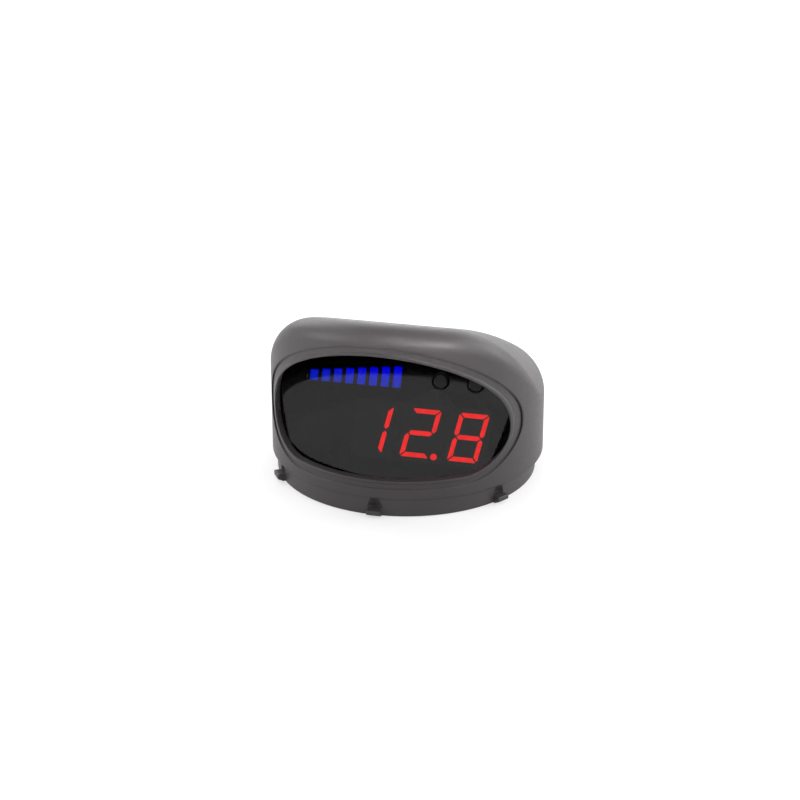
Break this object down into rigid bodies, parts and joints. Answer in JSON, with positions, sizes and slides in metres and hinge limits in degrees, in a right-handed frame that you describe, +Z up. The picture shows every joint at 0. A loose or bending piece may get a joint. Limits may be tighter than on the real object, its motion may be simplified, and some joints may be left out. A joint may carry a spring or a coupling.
{
  "type": "digital gauge pod",
  "caption": "Round hooded dashboard pod with a tilted smoked display, red digits, a rising blue bar and two push buttons, on a snap-in collar.",
  "frame": {"origin": "centre of the collar's lower rim", "axes": "+Z up, -Y out of the display towards the driver, +X to the driver's right"},
  "size_m": [0.0724, 0.0742, 0.0505],
  "materials": {
    "black_steel": "blackened steel",
    "blue_lit": "lit diffuser",
    "board": "solder mask",
    "brass": "plated brass",
    "can": "drawn can",
    "ceramic": "fired ceramic",
    "chip": "moulded epoxy",
    "digit_case": "black face",
    "film": "black film",
    "inner": "plain black",
    "lens": "polished smoked acrylic",
    "red_dark": "unlit diffuser",
    "red_lit": "lit diffuser",
    "shell": "fine moulded grain",
    "steel": "plated steel",
    "white": "white moulding"
  },
  "bodies": {
    "pod": {"bar_guide": "digit_case", "bar_leds": "white", "bar_segments": "blue_lit", "base_cover": "inner", "board_screws": "steel", "chip_capacitors": "ceramic", "chip_resistors": "chip", "circuit_board": "board", "contact_dome_left": "steel", "contact_dome_right": "steel", "cover_screws": "black_steel", "crystal": "steel", "dark_segments_centre": "red_dark", "dark_segments_left": "red_dark", "dark_segments_right": "red_dark", "data_socket": "white", "digit_centre": "digit_case", "digit_left": "digit_case", "digit_pins": "steel", "digit_right": "digit_case", "display_frame": "inner", "driver_chip": "chip", "face_lens": "lens", "filter_capacitor": "can", "hood_shell": "shell", "light_mask": "film", "lit_segments_centre": "red_lit", "lit_segments_left": "red_lit", "lit_segments_right": "red_lit", "panel_screws": "steel", "processor_chip": "chip", "rear_cover": "shell", "rear_screws": "black_steel", "socket_contacts": "brass", "switch_body_left": "chip", "switch_body_right": "chip", "switch_cover_left": "steel", "switch_cover_right": "steel", "voltage_regulator": "chip"},
    "button_left": {"button_cap_left": "shell", "switch_plunger_left": "white"},
    "button_right": {"button_cap_right": "shell", "switch_plunger_right": "white"}
  },
  "joints": [
    {"name": "press_left", "type": "slide", "parent": "pod", "child": "button_left", "axis": [0, 0.891, -0.454], "range_m": [0, 0.0003], "stiffness_N_per_m": 900},
    {"name": "press_right", "type": "slide", "parent": "pod", "child": "button_right", "axis": [0, 0.891, -0.454], "range_m": [0, 0.0003], "stiffness_N_per_m": 900}
  ]
}
